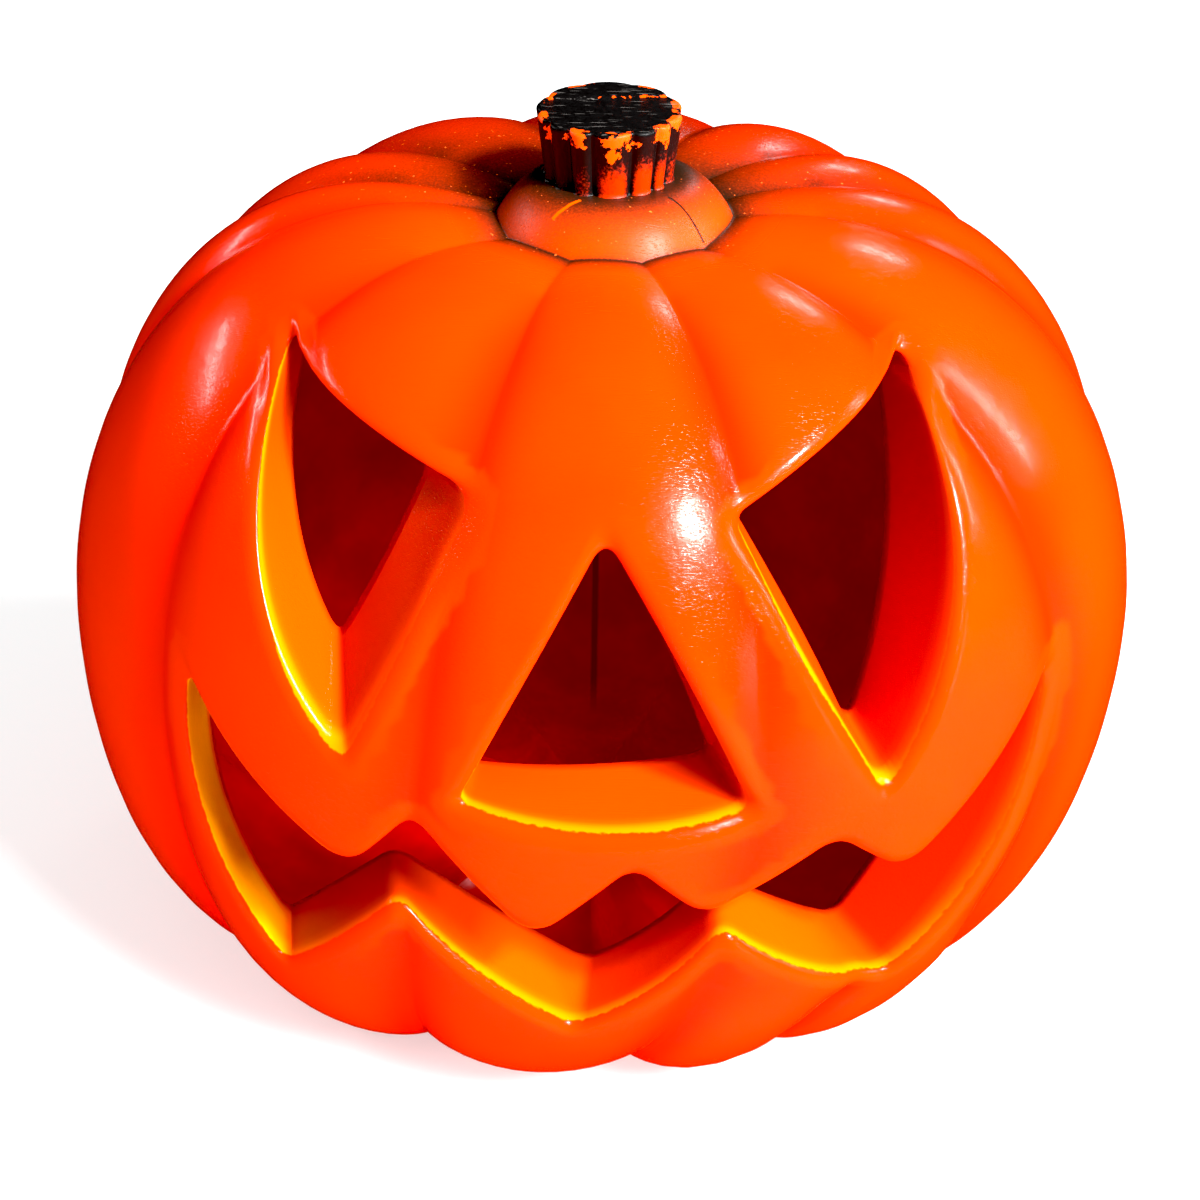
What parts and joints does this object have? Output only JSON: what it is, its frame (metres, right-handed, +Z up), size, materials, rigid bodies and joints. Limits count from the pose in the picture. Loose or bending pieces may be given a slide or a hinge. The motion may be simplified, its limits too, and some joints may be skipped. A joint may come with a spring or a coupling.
{
  "type": "carved pumpkin lantern",
  "caption": "Hollow moulded plastic pumpkin lantern with slanted eyes, a triangular nose, a zig-zag grin and a ribbed stem on a collar.",
  "frame": {"origin": "middle of the part's width and depth, at the level it rests on", "axes": "+Z up through the stem, -Y out of the face, +X to the right of someone looking at the face"},
  "size_m": [0.238, 0.2404, 0.1935],
  "materials": {
    "orange_plastic": "gloss"
  },
  "bodies": {
    "root": {"lantern_shell": "orange_plastic"}
  },
  "joints": []
}
